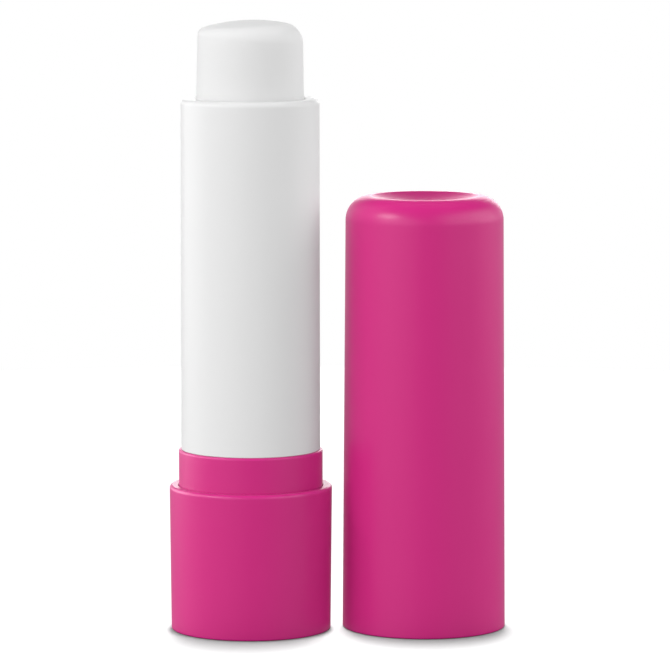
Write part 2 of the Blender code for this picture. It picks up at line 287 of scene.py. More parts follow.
def skin(name, grid, angles, centre=(0.0, 0.0), ring=False):
    """Makes the object whose point is (x, y, z) = (cx + r cos a, cy + r sin a, height).

    A ring's last row joins its first. Other skins start and end on the axis.
    """
    radius, height = grid[..., 0], grid[..., 1]
    across = centre[0] + radius * np.cos(angles)
    deep = centre[1] + radius * np.sin(angles)
    points = np.stack((across, deep, height), axis=-1).reshape(-1, 3)
    index = np.arange(radius.size).reshape(radius.shape)
    beside = np.roll(index, -1, axis=1)
    quads = np.stack((index, beside, np.roll(beside, -1, axis=0), np.roll(index, -1, axis=0)), axis=-1)
    quads = quads if ring else quads[:-1]
    mesh = bpy.data.meshes.new(name)
    mesh.from_pydata(points.tolist(), [], quads.reshape(-1, 4).tolist())
    edge = mesh.attributes.new("edge_share", "FLOAT", "POINT")
    edge.data.foreach_set("value", edge_share(grid).astype(np.float32).ravel())
    shape = bmesh.new()
    shape.from_mesh(mesh)
    bmesh.ops.remove_doubles(shape, verts=shape.verts, dist=MERGE_REACH)
    bmesh.ops.recalc_face_normals(shape, faces=shape.faces)
    shape.to_mesh(mesh)
    shape.free()
    mesh.shade_smooth()
    mesh.set_sharp_from_angle(angle=SHARP_TURN)
    piece = bpy.data.objects.new(name, mesh)
    bpy.context.scene.collection.objects.link(piece)
    triangles = sum(len(face.vertices) - 2 for face in mesh.polygons)
    print(name, "has", triangles, "triangles and measures, in mm:", in_mm(*piece.dimensions))
    return piece


print("drawn sharp: corners of more than", round(math.degrees(SHARP_TURN)), "degrees")

# %% [markdown]
# The grip shell
#
# The pink cup at the bottom is what the fingers turn. It is moulded with a little taper so that
# it leaves its mould, a soft foot, and a rounder rim that catches the light as a thin crescent.
# Four short ribs inside stop the collar from turning in it. It could be a lathed curve with a
# Screw modifier, but the ribs need the mixed outline.

# %% Grip shell
SHELL_FLOOR = 0.0012
FOOT_TAPER = 0.00017
FOOT_ROUND = 0.00018
RIM_ROUND = 0.00040
RIM_BORE_ROUND = 0.00018
LOCK_RIB_DEPTH = 0.00060
LOCK_RIB_WIDTH = 0.0012
LOCK_RIB_COUNT = 4
FLANK = 0.00006
FLANGE_THICKNESS = 0.0014

shell_bore = insert_high.x + PRESS_GAP
flange_top = spindle_low.z + FLANGE_THICKNESS
web_bottom = flange_top + SEAT_GAP
lock_angles = around(LOCK_RIB_COUNT, FULL_TURN / LOCK_RIB_COUNT / 2)


def feature_at(centres, width, radius):
    """A feature of a real width at a radius, as its centres, half angle and flank angle."""
    return centres, width / 2 / radius, FLANK / radius


def make_grip_shell():
    """Half of the shell's section: foot, rim, bore and floor, with the ribs as a second outline."""
    rim, top, bottom = shell_high.x, shell_high.z, shell_low.z
    rib = shell_bore - LOCK_RIB_DEPTH
    outside = [(0, bottom, 0), (rim - FOOT_TAPER, bottom, FOOT_ROUND), (rim, top, RIM_ROUND)]
    outside += [(shell_bore, top, RIM_BORE_ROUND), (shell_bore, web_bottom, TINY_EDGE)]
    inside = [(rib, SHELL_FLOOR, TINY_EDGE), (0, SHELL_FLOOR, 0)]
    plain = outline(outside + [(shell_bore, SHELL_FLOOR, SMALL_EDGE)] + inside)
    ribbed = outline(outside + [(rib, web_bottom, SMALL_EDGE)] + inside)
    locks = feature_at(lock_angles, LOCK_RIB_WIDTH, shell_bore)
    angles = column_angles(locks)
    grid = mixed_grid(angles, plain, (ribbed, share_inside(angles, locks)))
    return skin("grip_cup", grid, angles)


grip_cup = make_grip_shell()

# %% [markdown]
# The collar insert
#
# A second pink moulding is pressed into the shell. Its top is the collar that shows, and that the
# cap grips. Below, out of sight, are the bore that carries the tube, a groove for the tube's snap
# bead, and a web with a square hole that holds the screw still. The square is only one more mix:
# its radius, against the half side, runs from 1 on a flat to the root of 2 in a corner.

# %% Collar insert
COLLAR_ROUND = 0.00022
COLLAR_BORE_ROUND = 0.00008
SKIRT_WALL = 0.00095
WEB_THICKNESS = 0.0012
NECK_WALL = 0.00115
NECK_LIFT = 0.0008
BEAD_REACH = 0.00020
BEAD_WIDTH = 0.0010
BEAD_SLOPE = 0.00030
BEAD_LIFT = 0.0031
SHANK_SIDE = 0.0044
SQUARE_POWER = 16

web_top = web_bottom + WEB_THICKNESS
neck_radius = bore_radius + NECK_WALL
socket_radius = neck_radius + RUN_GAP
bead_radius = socket_radius + BEAD_REACH
bead_bottom = web_top + NECK_LIFT + BEAD_LIFT
bead_top = bead_bottom + BEAD_WIDTH


def square_share(angles):
    """How far a rounded square stands out at each angle, from 0 on a flat to about 1 in a corner.

    The radius of the square is the half side over the p-norm of (cos, sin), with a large power p.
    """
    sides = np.abs(np.cos(angles)) ** SQUARE_POWER + np.abs(np.sin(angles)) ** SQUARE_POWER
    return (sides ** (-1 / SQUARE_POWER) - 1) / (math.sqrt(2) - 1)


def insert_outline(hole, slot_top=None):
    """The insert's section as a ring of corners. A slot lifts the foot of the skirt to its top."""
    collar, bottom, top = insert_high.x, insert_low.z, insert_high.z
    skirt = collar - SKIRT_WALL
    relief = web_bottom + SEAT_GAP
    groove, low, high = bead_radius + RUN_GAP, bead_bottom - SEAT_GAP, bead_top + SEAT_GAP
    corners = [(hole, web_top, TINY_EDGE), (socket_radius, web_top, SMALL_EDGE)]
    corners += [(socket_radius, low, TINY_EDGE), (groove, low + BEAD_SLOPE, TINY_EDGE)]
    corners += [(groove, high - BEAD_SLOPE, TINY_EDGE), (socket_radius, high, TINY_EDGE)]
    corners += [(socket_radius, top, COLLAR_BORE_ROUND), (collar, top, COLLAR_ROUND)]
    if slot_top is None:
        corners += [(collar, bottom, TINY_EDGE), (skirt, bottom, TINY_EDGE)]
    else:
        corners += [(collar, slot_top, TINY_EDGE), ((collar + skirt) / 2, slot_top, TINY_EDGE)]
    corners += [(skirt, relief, TINY_EDGE), (skirt - SEAT_GAP, relief, TINY_EDGE)]
    corners += [(skirt - SEAT_GAP, web_bottom, TINY_EDGE), (hole, web_bottom, TINY_EDGE)]
    return outline(corners)


def make_collar_insert():
    """The plain ring, mixed with a square hole and with slots that take the shell's ribs."""
    half_hole = SHANK_SIDE / 2 + RUN_GAP
    plain = insert_outline(half_hole)
    square = insert_outline(half_hole * math.sqrt(2))
    slotted = insert_outline(half_hole, web_bottom + SEAT_GAP)
    slots = feature_at(lock_angles, LOCK_RIB_WIDTH + 2 * RUN_GAP, insert_high.x)
    angles = column_angles(slots)
    shaped = [(slotted, share_inside(angles, slots)), (square, square_share(angles))]
    return skin("collar_sleeve", mixed_grid(angles, plain, *shaped), angles, ring=True)


collar_sleeve = make_collar_insert()

# %% [markdown]
# The balm tube
#
# The white tube is one moulding from the rim around the balm to the snap neck hidden in the base.
# Its outside has almost no taper, and its lip is rounded so that it is kind to a lip. Two grooves
# run up the bore to keep the lift cup from turning. They stop short of the rim, so the mouth
# stays round.

# %% Balm tube
TUBE_TAPER = 0.00005
TUBE_RIM_ROUND = 0.00062
TUBE_BORE_ROUND = 0.00032
LUG_WIDTH = 0.0016
LUG_REACH = 0.00060
LUG_HEIGHT = 0.0025
CUP_DEPTH = 0.0050
CUP_FLOOR = 0.0012
CUP_SKIRT = 0.0042
KEY_SLOPE = 0.00004
KEY_COUNT = 2

lowest_lift, highest_lift = {joint["name"]: joint for joint in frame["joints"]}["balm_lift"]["range_m"]
cup_floor_top = cup_high.z - CUP_DEPTH
skirt_bottom = cup_floor_top - CUP_FLOOR - CUP_SKIRT
lug_radius = cup_radius + LUG_REACH
lug_top = skirt_bottom + LUG_HEIGHT
key_angles = around(KEY_COUNT)


def tube_outline(key_radius):
    """The tube's section as a ring, with the lower part of its bore at the given radius."""
    top, bottom = tube_high.z, tube_low.z
    shoulder = insert_high.z + FACE_GAP
    key_top = lug_top + highest_lift + SEAT_GAP
    bead_low, bead_high = bead_bottom + BEAD_SLOPE, bead_top - BEAD_SLOPE
    corners = [(neck_radius, shoulder, TINY_EDGE), (tube_high.x, shoulder, TINY_EDGE)]
    corners += [(tube_high.x - TUBE_TAPER, top, TUBE_RIM_ROUND), (bore_radius, top, TUBE_BORE_ROUND)]
    corners += [(bore_radius, key_top, TINY_EDGE), (key_radius, key_top - KEY_SLOPE, TINY_EDGE)]
    corners += [(key_radius, bottom, TINY_EDGE), (neck_radius, bottom, SMALL_EDGE)]
    corners += [(neck_radius, bead_bottom, TINY_EDGE), (bead_radius, bead_low, SMALL_EDGE)]
    corners += [(bead_radius, bead_high, SMALL_EDGE), (neck_radius, bead_top, TINY_EDGE)]
    return outline(corners)


def make_balm_tube():
    """The plain tube, mixed with a wider bore where the two key grooves run."""
    keys = feature_at(key_angles, LUG_WIDTH + 2 * RUN_GAP, bore_radius)
    angles = column_angles(keys)
    keyed = tube_outline(lug_radius + RUN_GAP)
    grid = mixed_grid(angles, tube_outline(bore_radius), (keyed, share_inside(angles, keys)))
    return skin("white_tube", grid, angles, ring=True)


white_tube = make_balm_tube()

# %% [markdown]
# The screw spindle
#
# The screw stands still in the base while the tube and cup turn around it, so the cup climbs. Its
# coarse thread is moulded, with sloped flanks and blunt crests. A screw modifier could sweep the
# section, but the thread has to fade out at both ends. As a height over the core it is a
# formula: the distance from the nearest turn's middle, put through a ramp.

# %% Screw spindle
THREAD_CORE = 0.00175
THREAD_DEPTH = 0.00075
THREAD_LEAD = 0.0040
THREAD_START = 0.0010
THREAD_FADE = 0.0020
ROOT_HALF = 0.00078
CREST_HALF = 0.00045
SHANK_LENGTH = 0.0021
ROWS_PER_TURN = 36
SCREW_SIDES = 176

shank_top = flange_top + SHANK_LENGTH
thread_bottom = shank_top + THREAD_START
thread_top = spindle_high.z - THREAD_LEAD / 2


def thread_rise(angles, heights, growth):
    """The thread's rise and its fade, both from 0 to 1, for each height (rows) and angle (columns).

    The middle of the ridge climbs one lead each turn. The ramp runs from 1 within the crest's
    half width of that middle to 0 beyond the root's, and the rise is three times its square less
    twice its cube. The fade is 1 along the thread and runs to 0 at both of its ends.
    """
    turns = (heights[:, None] - thread_bottom) / THREAD_LEAD - angles[None, :] / FULL_TURN
    away = np.abs(turns - np.round(turns)) * THREAD_LEAD
    middle = heights[:, None] - (turns - np.round(turns)) * THREAD_LEAD
    ramp = np.clip((ROOT_HALF + growth - away) / (ROOT_HALF - CREST_HALF), 0, 1)
    fade = np.clip(np.minimum(middle - thread_bottom, thread_top - middle) / THREAD_FADE, 0, 1)
    return ramp**2 * (3 - 2 * ramp), fade


def thread_heights(low, high):
    """Even heights for the rows that carry a thread."""
    return np.linspace(low, high, round((high - low) / THREAD_LEAD * ROWS_PER_TURN) + 1)


def spindle_foot(half_side):
    """The flange and the shank, with the shank's faces at the given distance from the axis."""
    flange, bottom = spindle_high.x, spindle_low.z
    corners = [(0, bottom, 0), (flange, bottom, SMALL_EDGE), (flange, flange_top, SMALL_EDGE)]
    corners += [(half_side, flange_top, TINY_EDGE), (half_side, shank_top, SMALL_EDGE)]
    corners += [(THREAD_CORE, shank_top, TINY_EDGE), (THREAD_CORE, shank_top + SMALL_EDGE, 0)]
    return outline(corners)


def make_screw_spindle():
    """Flange, square shank, threaded core and a blunt tip, stacked as one grid."""
    angles = column_angles(sides=SCREW_SIDES)
    tip, tip_radius = spindle_high.z, THREAD_CORE / 2
    core_top = tip - tip_radius
    wide = spindle_foot(SHANK_SIDE / math.sqrt(2))
    foot = mixed_grid(angles, spindle_foot(SHANK_SIDE / 2), (wide, square_share(angles)))
    heights = thread_heights(shank_top + 2 * SMALL_EDGE, core_top - SMALL_EDGE)
    rise, fade = thread_rise(angles, heights, 0)
    core = np.stack((THREAD_CORE + THREAD_DEPTH * rise * fade, 0 * rise + heights[:, None]), axis=-1)
    corners = [(THREAD_CORE, core_top - TINY_EDGE, 0), (THREAD_CORE, core_top, TINY_EDGE)]
    corners += [(tip_radius, tip, SMALL_EDGE), (0, tip, 0)]
    top = mixed_grid(angles, outline(corners))
    return skin("lifting_screw", np.concatenate((foot, core, top)), angles)


lifting_screw = make_screw_spindle()

# %% [markdown]
# The lift cup
#
# The cup carries the balm and is the nut of the screw. A skirt keeps it straight in the bore, two
# lugs on the skirt slide in the tube's grooves, and four fins in the cup are cast into the balm so
# that it can't turn in its cup. The nut's thread is the screw's own formula, grown by the gap.

# %% Lift cup
CUP_WALL = 0.00060
HUB_WALL = 0.0012
FIN_COUNT = 4
FIN_WIDTH = 0.00060
FIN_DEPTH = 0.0012
FIN_HEIGHT = 0.0035

cup_inner = cup_radius - CUP_WALL
thread_crest = THREAD_CORE + THREAD_DEPTH
hub_radius = thread_crest + RUN_GAP + HUB_WALL
fin_angles = around(FIN_COUNT, FULL_TURN / FIN_COUNT / 2)


def cup_outline(finned=False, lugged=False):
    """The cup's section from the top of the bore, round the wall and skirt, to the hub's foot."""
    floor, top, under = cup_floor_top, cup_high.z, cup_floor_top - CUP_FLOOR
    fin, fin_top = cup_inner - FIN_DEPTH, cup_floor_top + FIN_HEIGHT
    lug = lug_radius if lugged else cup_radius
    face = thread_crest + RUN_GAP + SMALL_EDGE
    corners = [(face, floor, 0), (fin, floor, TINY_EDGE)]
    corners += [(fin, fin_top, SMALL_EDGE) if finned else (cup_inner, floor, SMALL_EDGE)]
    corners += [(cup_inner, fin_top, TINY_EDGE), (cup_inner, top, SMALL_EDGE)]
    corners += [(cup_radius, top, SMALL_EDGE), (cup_radius, lug_top, TINY_EDGE)]
    corners += [(lug, lug_top - KEY_SLOPE, TINY_EDGE), (lug, skirt_bottom, SMALL_EDGE)]
    corners += [(cup_inner, skirt_bottom, TINY_EDGE), (cup_inner, under, SMALL_EDGE)]
    corners += [(hub_radius, under, SMALL_EDGE), (hub_radius, cup_low.z, SMALL_EDGE)]
    return outline(corners + [(face, cup_low.z, 0)])


def make_lift_cup():
    """The cup's outline with its fins and lugs, closed by the threaded bore."""
    fins = feature_at(fin_angles, FIN_WIDTH, cup_inner)
    lugs = feature_at(key_angles, LUG_WIDTH, lug_radius)
    angles = column_angles(fins, lugs)
    shaped = [(cup_outline(finned=True), share_inside(angles, fins))]
    shaped += [(cup_outline(lugged=True), share_inside(angles, lugs))]
    around_wall = mixed_grid(angles, cup_outline(), *shaped)
    heights = thread_heights(cup_low.z, cup_floor_top)
    rise, _ = thread_rise(angles, heights, RUN_GAP)
    bore = np.stack((THREAD_CORE + RUN_GAP + THREAD_DEPTH * rise, 0 * rise + heights[:, None]), axis=-1)
    return skin("nut_cup", np.concatenate((around_wall, bore)), angles, ring=True)


nut_cup = make_lift_cup()

# %% [markdown]
# The balm
#
# The balm is cast warm into its cup and set. Its dome leans a little and its shoulder is softer on
# the right than on the left, as the photograph shows. Two outlines, one with a tight and one
# with a soft shoulder, are mixed by the cosine of the angle, and the dome is tilted on top.

# %% Balm
BALM_TAPER_LENGTH = 0.0085
DOME_RADIUS = 0.0210
TIGHT_SIDE = {"shoulder": 0.00105, "taper": 0.00024}
SOFT_SIDE = {"shoulder": 0.00245, "taper": 0.00012}
DOME_TILT = 0.026
DOME_DROP = 0.00002

dome_top = balm_high.z - DOME_DROP
balm_root = cup_inner - WAX_GAP
balm_bore = thread_crest + SEAT_GAP
balm_bore_top = spindle_high.z - lowest_lift + SEAT_GAP


def balm_outline(shoulder, taper, slotted=False):
    """The balm's section from the top of its bore, down, out and up to the middle of the dome.

    Dome and shoulder touch where the sine of the dome's lean is the side's radius less the
    shoulder's, over the dome's less the shoulder's.
    """
    side, bottom, step = balm_high.x - taper, balm_low.z, cup_high.z + WAX_GAP
    lean = math.asin((side - shoulder) / (DOME_RADIUS - shoulder))
    knee = DOME_RADIUS * math.tan(lean / 2)
    edge = dome_top - (side - knee) * math.tan(lean)
    slot, slot_top = cup_inner - FIN_DEPTH - WAX_GAP, cup_floor_top + FIN_HEIGHT + WAX_GAP
    corners = [(0, balm_bore_top, 0), (balm_bore, balm_bore_top, SMALL_EDGE)]
    corners += [(balm_bore, bottom, TINY_EDGE), (slot, bottom, TINY_EDGE)]
    corners += [(slot, slot_top, TINY_EDGE) if slotted else (balm_root, bottom, TINY_EDGE)]
    corners += [(balm_root, slot_top, TINY_EDGE), (balm_root, step, SMALL_EDGE)]
    corners += [(balm_high.x, step, SMALL_EDGE), (balm_high.x, edge - BALM_TAPER_LENGTH, SMALL_EDGE)]
    corners += [(side, edge, shoulder, LARGE_ARC_STEPS), (knee, dome_top, DOME_RADIUS, LARGE_ARC_STEPS)]
    return outline(corners + [(0, dome_top, 0)])


def make_balm():
    """Mixes the two shoulders by (1 + cos a) / 2, then tilts all that lies above the wall.

    The tilt adds the slope times r cos a to a height, growing from 0 to all of it up the shoulder.
    """
    slots = feature_at(fin_angles, FIN_WIDTH + 2 * WAX_GAP, balm_root)
    angles = column_angles(slots)
    shaped = [(balm_outline(**SOFT_SIDE), (1 + np.cos(angles)) / 2)]
    shaped += [(balm_outline(**TIGHT_SIDE, slotted=True), share_inside(angles, slots))]
    grid = mixed_grid(angles, balm_outline(**TIGHT_SIDE), *shaped)
    reach = SOFT_SIDE["shoulder"]
    above = np.clip((grid[..., 1] - dome_top + reach) / reach, 0, 1)
    grid[..., 1] += DOME_TILT * grid[..., 0] * np.cos(angles) * above
    return skin("balm_bullet", grid, angles)


balm_bullet = make_balm()

# %% [markdown]
# The cap
#
# The cap is a deep, slightly tapered cup that stands mouth down. Its top is dished, so a crest
# runs round it, and a large round shoulder falls from the crest to the wall. Eight low ribs in the
# mouth grip the collar when the cap is on. The dish is an arc too: one corner with a huge rounding.

# %% Cap
CAP_FIT = 0.00020
CAP_TAPER = 0.00035
CAP_CEILING = 0.0024
CAP_BORE_GAP = 0.00015
CAP_BORE_STEP = 0.00005
CAP_BORE_ROUND = 0.0008
CAP_SHOULDER = 0.0028
CAP_MOUTH_ROUND = 0.00018
CREST_RADIUS = 0.0064
CREST_ROUND = 0.00080
DISH_ANGLE = math.radians(17)
GRIP_RIB_COUNT = 8
GRIP_RIB_WIDTH = 0.0008
GRIP_RIB_LEAD = 0.0004
GRIP_GAP = 0.00005

cap_centre = ((cap_low.x + cap_high.x) / 2, (cap_low.y + cap_high.y) / 2)
cap_radius = (cap_high.x - cap_low.x) / 2
mouth_bore = insert_high.x + CAP_FIT
mouth_top = insert_high.z - shell_high.z + SEAT_GAP


def cap_outline(grip_radius):
    """The cap's section from the middle of the dish, over the crest and wall, to the ceiling.

    The dish is an arc that is level on the axis and meets the crest at the dish's angle, so its
    radius is the reach of the dish over the sine of that angle.
    """
    top, bottom, ceiling = cap_high.z, cap_low.z, cap_high.z - CAP_CEILING
    dish_edge = CREST_RADIUS - CREST_ROUND * math.sin(DISH_ANGLE)
    dish = dish_edge / math.sin(DISH_ANGLE)
    crest = CREST_RADIUS - CREST_ROUND * math.tan(DISH_ANGLE / 2)
    knee = dish * math.tan(DISH_ANGLE / 2)
    low = top - (crest - knee) * math.tan(DISH_ANGLE)
    rib_low, rib_high = bottom + CAP_MOUTH_ROUND, mouth_top - SEAT_GAP
    corners = [(0, low, 0), (knee, low, dish, LARGE_ARC_STEPS), (crest, top, CREST_ROUND)]
    corners += [(cap_radius - CAP_TAPER, top, CAP_SHOULDER, LARGE_ARC_STEPS)]
    corners += [(cap_radius, bottom, CAP_MOUTH_ROUND), (mouth_bore, bottom, TINY_EDGE)]
    corners += [(mouth_bore, rib_low, TINY_EDGE), (grip_radius, rib_low + GRIP_RIB_LEAD, TINY_EDGE)]
    corners += [(grip_radius, rib_high - GRIP_RIB_LEAD, TINY_EDGE), (mouth_bore, rib_high, TINY_EDGE)]
    corners += [(mouth_bore, mouth_top, TINY_EDGE), (mouth_bore - CAP_BORE_STEP, mouth_top, TINY_EDGE)]
    corners += [(tube_high.x + CAP_BORE_GAP, ceiling, CAP_BORE_ROUND)]
    return outline(corners + [(0, ceiling, 0)])


def make_cap():
    """The plain cap, mixed with a mouth whose ribs reach in to the collar's radius."""
    ribs = feature_at(around(GRIP_RIB_COUNT), GRIP_RIB_WIDTH, mouth_bore)
    angles = column_angles(ribs)
    ribbed = cap_outline(insert_high.x + GRIP_GAP)
    grid = mixed_grid(angles, cap_outline(mouth_bore), (ribbed, share_inside(angles, ribs)))
    return skin("pull_off_cap", grid, angles, centre=cap_centre)


pull_off_cap = make_cap()

# %% [markdown]
# Nodes by function
#
# A finish is a tree of nodes, and a tree is a list of nodes, sockets and links. It could be drawn
# by hand in the Shader Editor, but small functions keep it short here: they make a group, feed a
# socket, make a Math node, and make a noise whose blots have a real size.

# %% Node helpers
NOISE_ROUGHNESS = 0.55
OPAQUE = 1.0


def new_group(name, inputs, outputs):
    """An empty node group with its sockets, and the nodes that stand for them."""
    group = bpy.data.node_groups.new(name, "ShaderNodeTree")
    for label, kind in inputs:
        group.interface.new_socket(label, in_out="INPUT", socket_type=kind)
    for label, kind in outputs:
        group.interface.new_socket(label, in_out="OUTPUT", socket_type=kind)
    return group, group.nodes.new("NodeGroupInput"), group.nodes.new("NodeGroupOutput")


def feed(tree, socket, value):
    """Links a socket to another one, or sets a number or a colour of three numbers on it."""
    if isinstance(value, bpy.types.NodeSocket):
        tree.links.new(value, socket)
    elif socket.type == "RGBA":
        socket.default_value = (*value, OPAQUE)
    elif value is not None:
        socket.default_value = value


def calculate(tree, operation, first, second, third=None):
    """A Math node, with a socket or a number for each of its inputs."""
    node = tree.nodes.new("ShaderNodeMath")
    node.operation = operation
    for socket, value in zip(node.inputs, (first, second, third)):
        feed(tree, socket, value)
    return node.outputs["Value"]


def noise(tree, position, size, detail):
    """A noise from 0 to 1 whose blots have the given size in metres."""
    node = tree.nodes.new("ShaderNodeTexNoise")
    node.inputs["Detail"].default_value = detail
    node.inputs["Roughness"].default_value = NOISE_ROUGHNESS
    tree.links.new(position, node.inputs["Vector"])
    tree.links.new(calculate(tree, "DIVIDE", 1.0, size), node.inputs["Scale"])
    return node.outputs["Fac"]


print("roughness of every noise:", NOISE_ROUGHNESS)

# %% [markdown]
# Grain and wear
#
# Moulded plastic is never a flat colour. Its mould was etched, which leaves a fine matt grain, it
# shrinks unevenly, which leaves broad soft waves, and its round edges are a little paler and
# smoother. Two node groups make these from Object coordinates, in real sizes, and each finish
# places them with its own values. The groups put out only values. The shaders stay outside.

# %% Grain and wear groups
GRAIN_SIZES = ("Grain Size", "Grain Depth", "Wave Size", "Wave Depth")
NOISE_DETAIL = 2.0
WAVE_DETAIL = 1.0


def make_moulded_grain():
    """Height: grain times its depth plus waves times theirs, in metres. Tone: the waves, 0 to 1."""
    inputs = [("Position", "NodeSocketVector")] + [(size, "NodeSocketFloat") for size in GRAIN_SIZES]
    outputs = [("Height", "NodeSocketFloat"), ("Tone", "NodeSocketFloat")]
    group, source, result = new_group("moulded_grain", inputs, outputs)
    grain = noise(group, source.outputs["Position"], source.outputs["Grain Size"], NOISE_DETAIL)
    waves = noise(group, source.outputs["Position"], source.outputs["Wave Size"], WAVE_DETAIL)
    fine = calculate(group, "MULTIPLY", grain, source.outputs["Grain Depth"])
    height = calculate(group, "MULTIPLY_ADD", waves, source.outputs["Wave Depth"], fine)
    group.links.new(height, result.inputs["Height"])
    group.links.new(waves, result.inputs["Tone"])
    return group


def make_edge_wear():
    """Wear: the skin's edge share, broken up by a noise of the given size, times the amount."""
    inputs = [("Position", "NodeSocketVector"), ("Edge", "NodeSocketFloat")]
    inputs += [("Break Size", "NodeSocketFloat"), ("Amount", "NodeSocketFloat")]
    group, source, result = new_group("edge_wear", inputs, [("Wear", "NodeSocketFloat")])
    patches = noise(group, source.outputs["Position"], source.outputs["Break Size"], NOISE_DETAIL)
    broken = calculate(group, "MULTIPLY", source.outputs["Edge"], patches)
    wear = calculate(group, "MULTIPLY", broken, source.outputs["Amount"])
    group.links.new(wear, result.inputs["Wear"])
    return group


moulded_grain = make_moulded_grain()
edge_wear = make_edge_wear()
print("node groups:", [group.name for group in bpy.data.node_groups])

# %% [markdown]
# The finishes
#
# Four finishes cover the stick: satin pink plastic, satin white plastic, the milky acetal of the
# moving parts, and wax. Each is a few values, with the four sizes of its grain in metres. The
# photograph's white tube has no pink tinge from the cap next to it, so the pink has a bounce
# colour too: a diffuse ray, which carries colour from piece to piece, meets it nearly grey.

# %% Finish values
FINISHES = {
    "pink_plastic": {
        "colour": (0.67, 0.018, 0.224),
        "edge_colour": (0.74, 0.030, 0.28),
        "roughness": 0.37,
        "specular": 0.42,
        "scatter": 0.0,
        "bounce": (0.54, 0.47, 0.50),
        "grain": (0.00010, 0.0000012, 0.0040, 0.000010),
    },
    "white_plastic": {
        "colour": (0.84, 0.84, 0.84),
        "edge_colour": (0.85, 0.85, 0.85),
        "roughness": 0.40,
        "specular": 0.14,
        "scatter": 0.0,
        "grain": (0.00012, 0.0000010, 0.0050, 0.000010),
    },
    "natural_acetal": {
        "colour": (0.78, 0.77, 0.74),
        "edge_colour": (0.83, 0.82, 0.80),
        "roughness": 0.45,
        "specular": 0.45,
        "scatter": 0.10,
        "grain": (0.00010, 0.0000015, 0.0030, 0.000006),
    },
    "balm_wax": {
        "colour": (0.835, 0.835, 0.835),
        "edge_colour": (0.85, 0.85, 0.85),
        "roughness": 0.55,
        "specular": 0.02,
        "scatter": 0.5,
        "grain": (0.00035, 0.0000020, 0.0025, 0.000016),
    },
}
print("finishes to make:", sorted(FINISHES))

# %% [markdown]
# From values to a shader
#
# Each finish could be one colour and one gloss, but then it would look like paint. One function
# joins the two groups to a shader: the tone shifts colour and gloss by a few hundredths, wear
# makes edges paler and smoother, and the height goes through a Bump node.

# %% Finish shaders
TONE_SHIFT = 0.05
GLOSS_SHIFT = 0.10
WEAR_BREAK = 0.0012
WEAR_AMOUNT = 1.0
WEAR_GLOSS = -0.06
SCATTER_REACH = 0.0035
EVEN_SCATTER = (1, 1, 1)
BUMP_DISTANCE = 1.0


def place_group(tree, group, values):
    """Places a group in a material and feeds its inputs by their names."""
    node = tree.nodes.new("ShaderNodeGroup")
    node.node_tree = group
    for label, value in values.items():
        feed(tree, node.inputs[label], value)
    return node


def mix_colours(tree, share, first, second):
    """A Mix node from one colour to another, each a socket or three numbers."""
    node = tree.nodes.new("ShaderNodeMix")
    node.data_type = "RGBA"
    tree.links.new(share, node.inputs["Factor"])
    colours = [socket for socket in node.inputs if socket.type == "RGBA"]
    for socket, value in zip(colours, (first, second)):
        feed(tree, socket, value)
    return [socket for socket in node.outputs if socket.type == "RGBA"][0]


def make_finish(name, recipe):
    """Joins grain, tone and edge wear to one Principled shader."""
    material = bpy.data.materials.new(name)
    material.use_nodes = True
    tree = material.node_tree
    shader = tree.nodes["Principled BSDF"]
    position = tree.nodes.new("ShaderNodeTexCoord").outputs["Object"]
    edge = tree.nodes.new("ShaderNodeAttribute")
    edge.attribute_name = "edge_share"
    grain_values = {"Position": position, **dict(zip(GRAIN_SIZES, recipe["grain"]))}
    grain = place_group(tree, moulded_grain, grain_values)
    wear_values = {"Position": position, "Edge": edge.outputs["Fac"]}
    wear_values.update({"Break Size": WEAR_BREAK, "Amount": WEAR_AMOUNT})
    wear = place_group(tree, edge_wear, wear_values).outputs["Wear"]
    tone = calculate(tree, "MULTIPLY", grain.outputs["Tone"], TONE_SHIFT)
    deeper = tuple(part * (1 - TONE_SHIFT) for part in recipe["colour"])
    body = mix_colours(tree, tone, recipe["colour"], deeper)
    body = mix_colours(tree, wear, body, recipe["edge_colour"])
    if "bounce" in recipe:
        path = tree.nodes.new("ShaderNodeLightPath")
        body = mix_colours(tree, path.outputs["Is Diffuse Ray"], body, recipe["bounce"])
    tree.links.new(body, shader.inputs["Base Color"])
    low_gloss = recipe["roughness"] - GLOSS_SHIFT / 2
    gloss = calculate(tree, "MULTIPLY_ADD", grain.outputs["Tone"], GLOSS_SHIFT, low_gloss)
    gloss = calculate(tree, "MULTIPLY_ADD", wear, WEAR_GLOSS, gloss)
    tree.links.new(gloss, shader.inputs["Roughness"])
    bump = tree.nodes.new("ShaderNodeBump")
    bump.inputs["Distance"].default_value = BUMP_DISTANCE
    tree.links.new(grain.outputs["Height"], bump.inputs["Height"])
    tree.links.new(bump.outputs["Normal"], shader.inputs["Normal"])
    shader.inputs["Specular IOR Level"].default_value = recipe["specular"]
    shader.inputs["Subsurface Weight"].default_value = recipe["scatter"]
    shader.inputs["Subsurface Scale"].default_value = SCATTER_REACH
    shader.inputs["Subsurface Radius"].default_value = EVEN_SCATTER
    return material


finishes = {name: make_finish(name, recipe) for name, recipe in FINISHES.items()}
print("nodes in each finish:", {name: len(made.node_tree.nodes) for name, made in finishes.items()})

# %% [markdown]
# Each skin in its place
#
# A skin stands for one node of the frame, moves with that node's body and takes its finish from
# one slot of the record. With that said once for each piece, the joints carry the skins along:
# the tube turns, and the cup and balm climb in it together.

# %% Bodies, nodes and slots
PLACES = [
    (grip_cup, "base", "grip_shell", "pink_plastic"),
    (collar_sleeve, "base", "collar_insert", "pink_plastic"),
    (lifting_screw, "base", "screw_spindle", "natural_acetal"),
    (white_tube, "tube", "balm_tube", "white_plastic"),
    (nut_cup, "carriage", "lift_cup", "natural_acetal"),
    (balm_bullet, "carriage", "balm", "balm_wax"),
    (pull_off_cap, "cap", "cap", "pink_plastic"),
]

